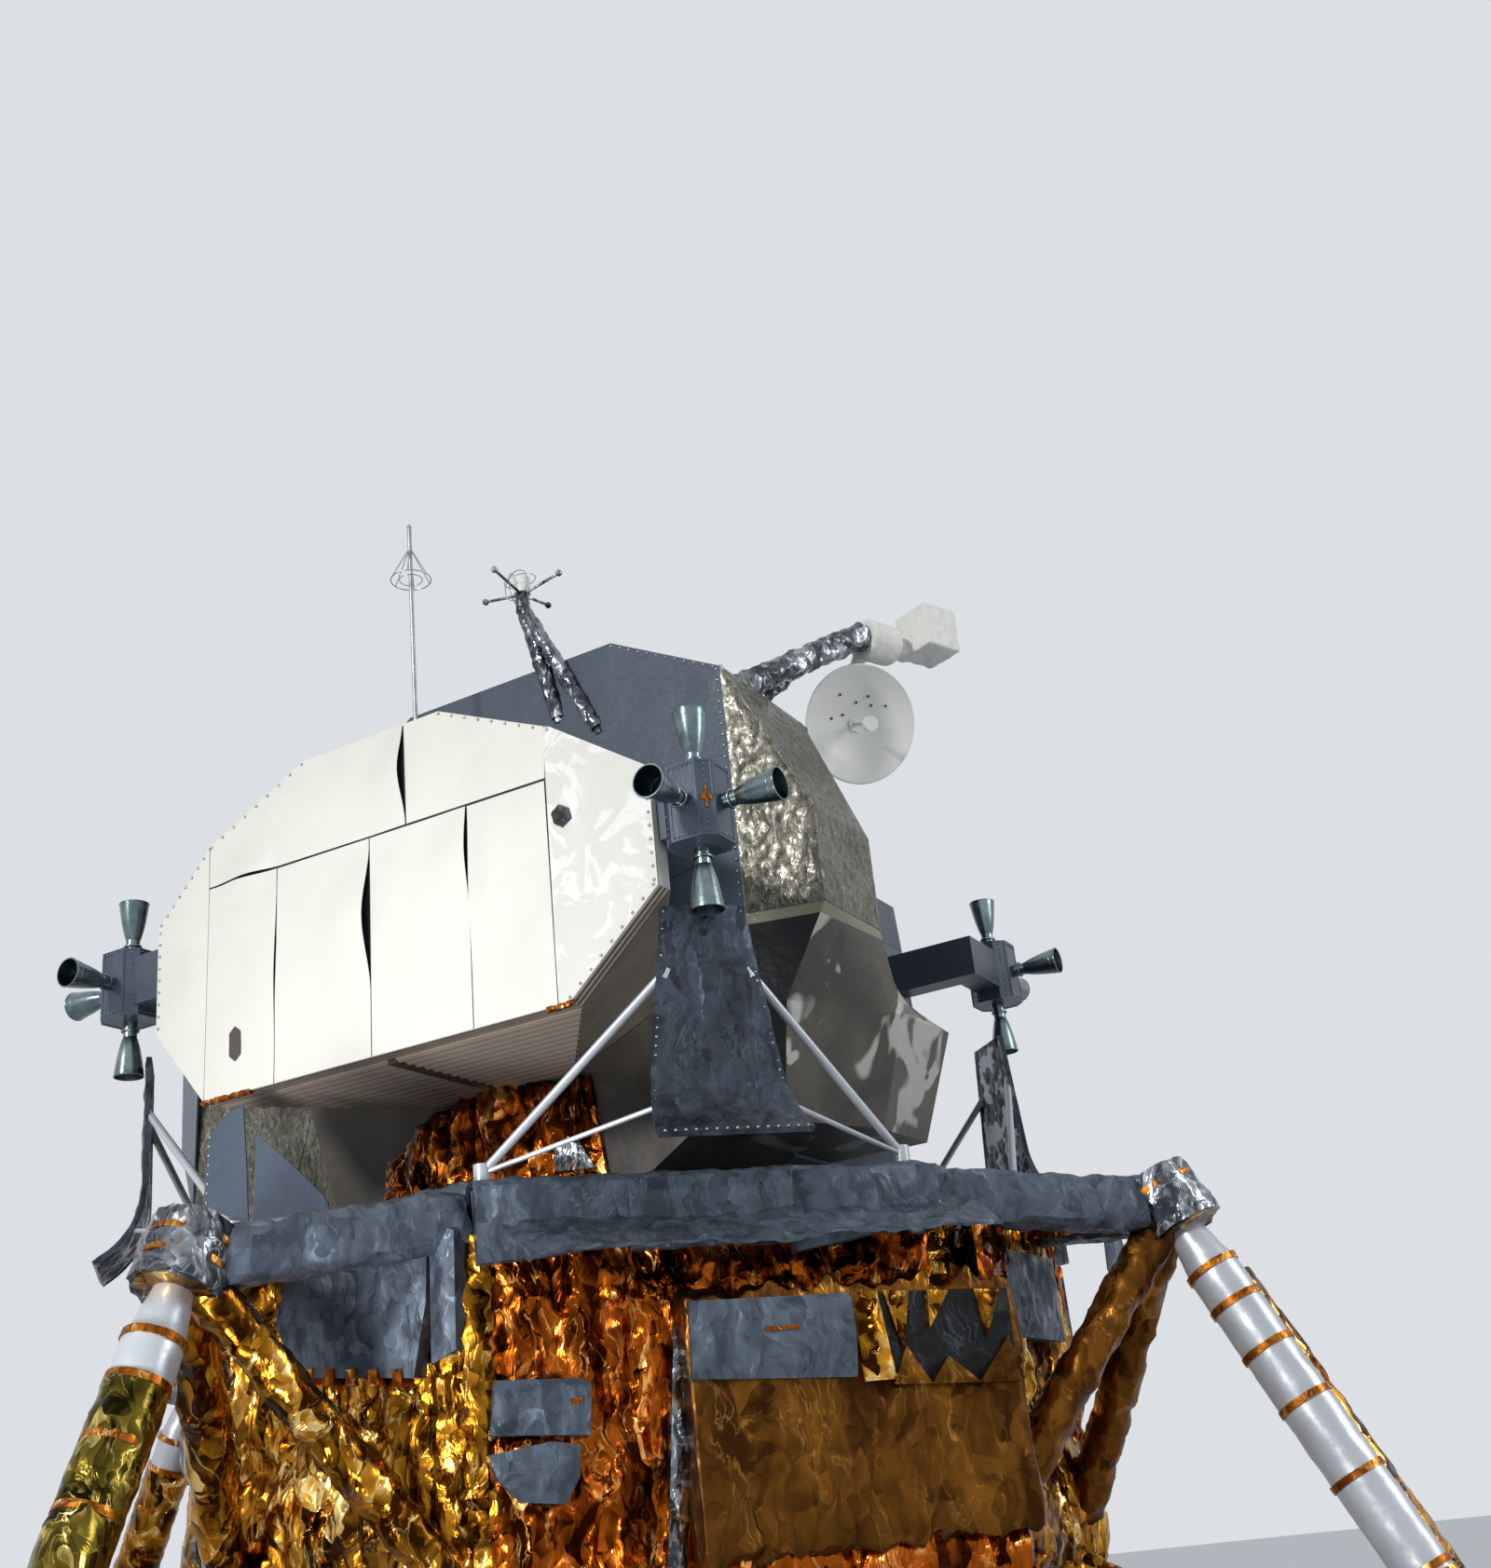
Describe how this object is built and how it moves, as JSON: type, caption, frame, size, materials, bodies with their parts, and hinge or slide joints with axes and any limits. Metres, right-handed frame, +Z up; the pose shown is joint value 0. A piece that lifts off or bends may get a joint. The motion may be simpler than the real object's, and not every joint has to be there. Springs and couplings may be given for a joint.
{
  "type": "lunar module",
  "caption": "Two-stage crewed lunar lander on four legs, with a swinging engine, hatches, a fold-down pallet and steerable antennas.",
  "frame": {"origin": "on the floor under the footpads, at the centre of the descent stage", "axes": "+Z up, +X to port, -Y towards the forward hatch"},
  "size_m": [9.4239, 9.424, 7.0277],
  "materials": {
    "white_panel": "thin white painted panels, buckled between their fasteners",
    "gray_panel": "dark blue-gray painted panels with rivet lines",
    "silver_foil": "crinkled aluminised film",
    "gold_foil": "crumpled amber film over aluminium",
    "blanket": "blue-gray insulating blanket",
    "bare_metal": "satin aluminium tube",
    "nozzle": "heat-tinted nozzle metal",
    "dark_nozzle": "dark niobium bell",
    "glass": "coated window pane",
    "white_cover": "white thermal cloth",
    "dish_white": "white painted dish"
  },
  "bodies": {
    "craft": {"aft_awning": "blanket", "aft_equipment_bay": "white_panel", "aft_footpad": "gold_foil", "aft_locker": "gold_foil", "aft_outrigger": "gold_foil", "aft_port_deflector": "blanket", "aft_port_thrusters": "gray_panel", "aft_primary_strut": "gold_foil", "aft_side_struts": "gold_foil", "aft_starboard_deflector": "blanket", "aft_starboard_thrusters": "gray_panel", "aft_vhf_antenna": "silver_foil", "ascent_engine": "nozzle", "base_heat_shield": "gold_foil", "descent_body": "gold_foil", "docking_target": "white_panel", "docking_tunnel": "bare_metal", "eva_bracket": "bare_metal", "forward_footpad": "gold_foil", "forward_midsection": "silver_foil", "forward_outrigger": "gold_foil", "forward_port_deflector": "blanket", "forward_port_thrusters": "gray_panel", "forward_primary_strut": "gold_foil", "forward_side_struts": "gold_foil", "forward_starboard_deflector": "blanket", "forward_starboard_thrusters": "gray_panel", "forward_vhf_antenna": "silver_foil", "front_cabin": "gray_panel", "ladder": "bare_metal", "landing_probes": "bare_metal", "landing_radar_mount": "bare_metal", "midsection": "silver_foil", "porch": "gray_panel", "port_footpad": "gold_foil", "port_outrigger": "gold_foil", "port_primary_strut": "gold_foil", "port_side_struts": "gold_foil", "port_tank_bay": "silver_foil", "radar_pedestal": "silver_foil", "s_band_boom": "silver_foil", "stage_fittings": "bare_metal", "starboard_footpad": "gold_foil", "starboard_outrigger": "gold_foil", "starboard_primary_strut": "gold_foil", "starboard_side_struts": "gold_foil", "starboard_tank_bay": "silver_foil", "upper_deck": "gold_foil", "window_glass": "glass"},
    "gimbal_ring": {"engine_gimbal_ring": "bare_metal"},
    "engine": {"descent_engine": "dark_nozzle"},
    "forward_door": {"forward_hatch": "gray_panel"},
    "overhead_door": {"overhead_hatch": "white_panel"},
    "pallet": {"equipment_pallet": "gold_foil"},
    "antenna_arm": {"s_band_arm": "white_cover"},
    "antenna_dish": {"s_band_dish": "dish_white"},
    "radar_gimbal": {"radar_yoke": "gray_panel"},
    "radar_antenna": {"radar_dish": "dish_white"},
    "mast": {"eva_antenna": "bare_metal"},
    "landing_antenna": {"landing_radar": "white_cover"}
  },
  "joints": [
    {"name": "engine_pitch", "type": "hinge", "parent": "craft", "child": "gimbal_ring", "pos_m": [0, 0, 2.159], "axis": [1, 0, 0], "range_deg": [-6, 6]},
    {"name": "engine_yaw", "type": "hinge", "parent": "gimbal_ring", "child": "engine", "pos_m": [0, 0, 2.159], "axis": [0, 1, 0], "range_deg": [-6, 6]},
    {"name": "forward_hatch_swing", "type": "hinge", "parent": "craft", "child": "forward_door", "pos_m": [-0.436, -1.67, 3.926], "axis": [0, 0, 1], "range_deg": [0, 90]},
    {"name": "overhead_hatch_swing", "type": "hinge", "parent": "craft", "child": "overhead_door", "pos_m": [0, 0.446, 5.905], "axis": [1, 0, 0], "range_deg": [0, 80]},
    {"name": "pallet_fold", "type": "hinge", "parent": "craft", "child": "pallet", "pos_m": [1.3291, -1.3291, 1.79], "axis": [0.7071, 0.7071, 0], "range_deg": [0, 90]},
    {"name": "s_band_turn", "type": "hinge", "parent": "craft", "child": "antenna_arm", "pos_m": [-1.732, -0.469, 6.377], "axis": [-0.3717, -0.9283, 0], "range_deg": [-75, 255]},
    {"name": "s_band_tilt", "type": "hinge", "parent": "antenna_arm", "child": "antenna_dish", "pos_m": [-1.516, -0.453, 5.933], "axis": [0, 0, 1], "range_deg": [-87, 87]},
    {"name": "radar_shaft", "type": "hinge", "parent": "craft", "child": "radar_gimbal", "pos_m": [0, -1.29, 6.33], "axis": [1, 0, 0], "range_deg": [-70, 60]},
    {"name": "radar_trunnion", "type": "hinge", "parent": "radar_gimbal", "child": "radar_antenna", "pos_m": [0, -1.54, 6.33], "axis": [0, 0, 1], "range_deg": [-70, 70]},
    {"name": "eva_mast_fold", "type": "hinge", "parent": "craft", "child": "mast", "pos_m": [0.14, 1.27, 5.63], "axis": [0, 1, 0], "range_deg": [0, 90]},
    {"name": "landing_radar_tilt", "type": "hinge", "parent": "craft", "child": "landing_antenna", "pos_m": [0, 1.5, 1.305], "axis": [1, 0, 0], "range_deg": [0, 24]}
  ]
}
